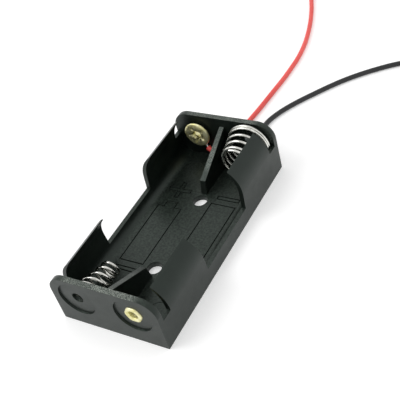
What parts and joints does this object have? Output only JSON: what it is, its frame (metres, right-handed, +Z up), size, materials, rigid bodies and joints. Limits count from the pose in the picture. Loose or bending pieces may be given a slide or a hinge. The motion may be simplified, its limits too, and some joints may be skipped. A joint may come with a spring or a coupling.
{
  "type": "cylindrical cell holder",
  "caption": "Open moulded tray for a pair of small cylindrical cells, with snap-over ears, sloping dividers, coil spring and rivet contacts, and a red and a black flying lead",
  "frame": {"origin": "bottom centre of the moulding, on the surface it rests on", "axes": "+Z up, +Y along the cells towards the end that the leads leave, +X to the right when seen from the other end"},
  "size_m": [0.0579, 0.1353, 0.0125],
  "materials": {
    "body_plastic": "moulded black polypropylene, fine satin grain",
    "contact_brass": "pale brass plating, worn bright on the crown",
    "spring_steel": "nickel-plated spring wire, bright",
    "red_insulation": "red PVC insulation, soft sheen",
    "black_insulation": "black PVC insulation, soft sheen",
    "tinned_copper": "tinned stranded copper"
  },
  "bodies": {
    "holder": {"holder_body": "body_plastic", "front_eyelet": "contact_brass", "rear_eyelet": "contact_brass", "red_lead": "red_insulation", "red_lead_tail": "red_insulation", "red_lead_core": "tinned_copper", "red_lead_coil": "red_insulation", "red_lead_end": "tinned_copper", "black_lead": "black_insulation", "black_lead_core": "tinned_copper", "black_lead_coil": "black_insulation", "black_lead_end": "tinned_copper"},
    "front_contact": {"front_spring": "spring_steel"},
    "rear_contact": {"rear_spring": "spring_steel"}
  },
  "joints": [
    {"name": "front_spring_travel", "type": "slide", "parent": "holder", "child": "front_contact", "axis": [0, -1, 0], "range_m": [0, 0.006], "stiffness_N_per_m": 500, "deforming": ["front_spring"]},
    {"name": "rear_spring_travel", "type": "slide", "parent": "holder", "child": "rear_contact", "axis": [0, 1, 0], "range_m": [0, 0.004], "stiffness_N_per_m": 500, "deforming": ["rear_spring"]}
  ]
}
